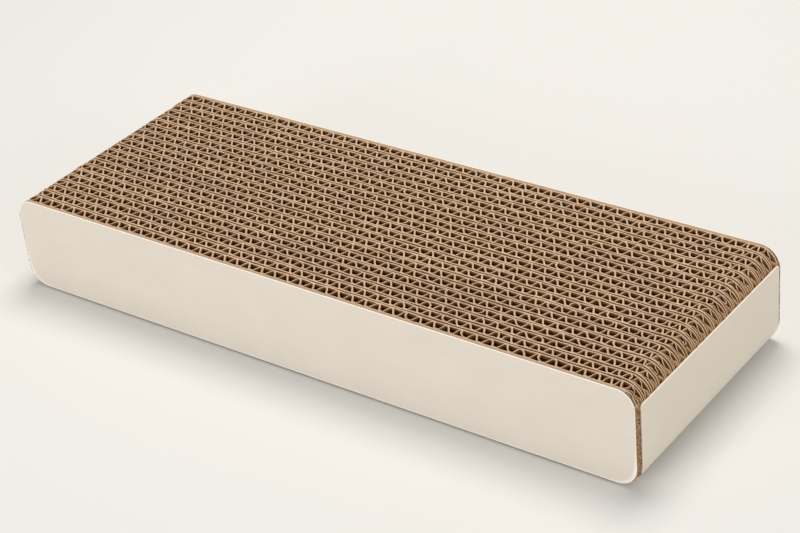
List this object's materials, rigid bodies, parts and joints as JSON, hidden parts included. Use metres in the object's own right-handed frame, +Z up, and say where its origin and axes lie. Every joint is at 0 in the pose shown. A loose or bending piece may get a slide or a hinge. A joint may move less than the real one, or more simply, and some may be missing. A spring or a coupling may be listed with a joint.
{
  "type": "cat scratcher",
  "caption": "Low rounded block of corrugated board strips on edge, open flutes on top, with cream side faces and a cream card round the ends.",
  "frame": {"origin": "centre of the underside, on the surface that the block rests on", "axes": "+X along the strips, +Y from the front side face to the back one, +Z up"},
  "size_m": [0.43, 0.1568, 0.06],
  "materials": {
    "kraft_strip": "matt, brown kraft, rough cut edges",
    "kraft_board": "matt, brown kraft",
    "cream_facing": "smooth matt cream",
    "cream_card": "smooth matt cream"
  },
  "bodies": {
    "root": {"strip_01": "kraft_strip", "strip_02": "kraft_strip", "strip_03": "kraft_strip", "strip_04": "kraft_strip", "strip_05": "kraft_strip", "strip_06": "kraft_strip", "strip_07": "kraft_strip", "strip_08": "kraft_strip", "strip_09": "kraft_strip", "strip_10": "kraft_strip", "strip_11": "kraft_strip", "strip_12": "kraft_strip", "strip_13": "kraft_strip", "strip_14": "kraft_strip", "strip_15": "kraft_strip", "strip_16": "kraft_strip", "strip_17": "kraft_strip", "strip_18": "kraft_strip", "strip_19": "kraft_strip", "strip_20": "kraft_strip", "strip_21": "kraft_strip", "front_board": "kraft_board", "back_board": "kraft_board", "front_facing": "cream_facing", "back_facing": "cream_facing", "base_card": "cream_card"}
  },
  "joints": []
}
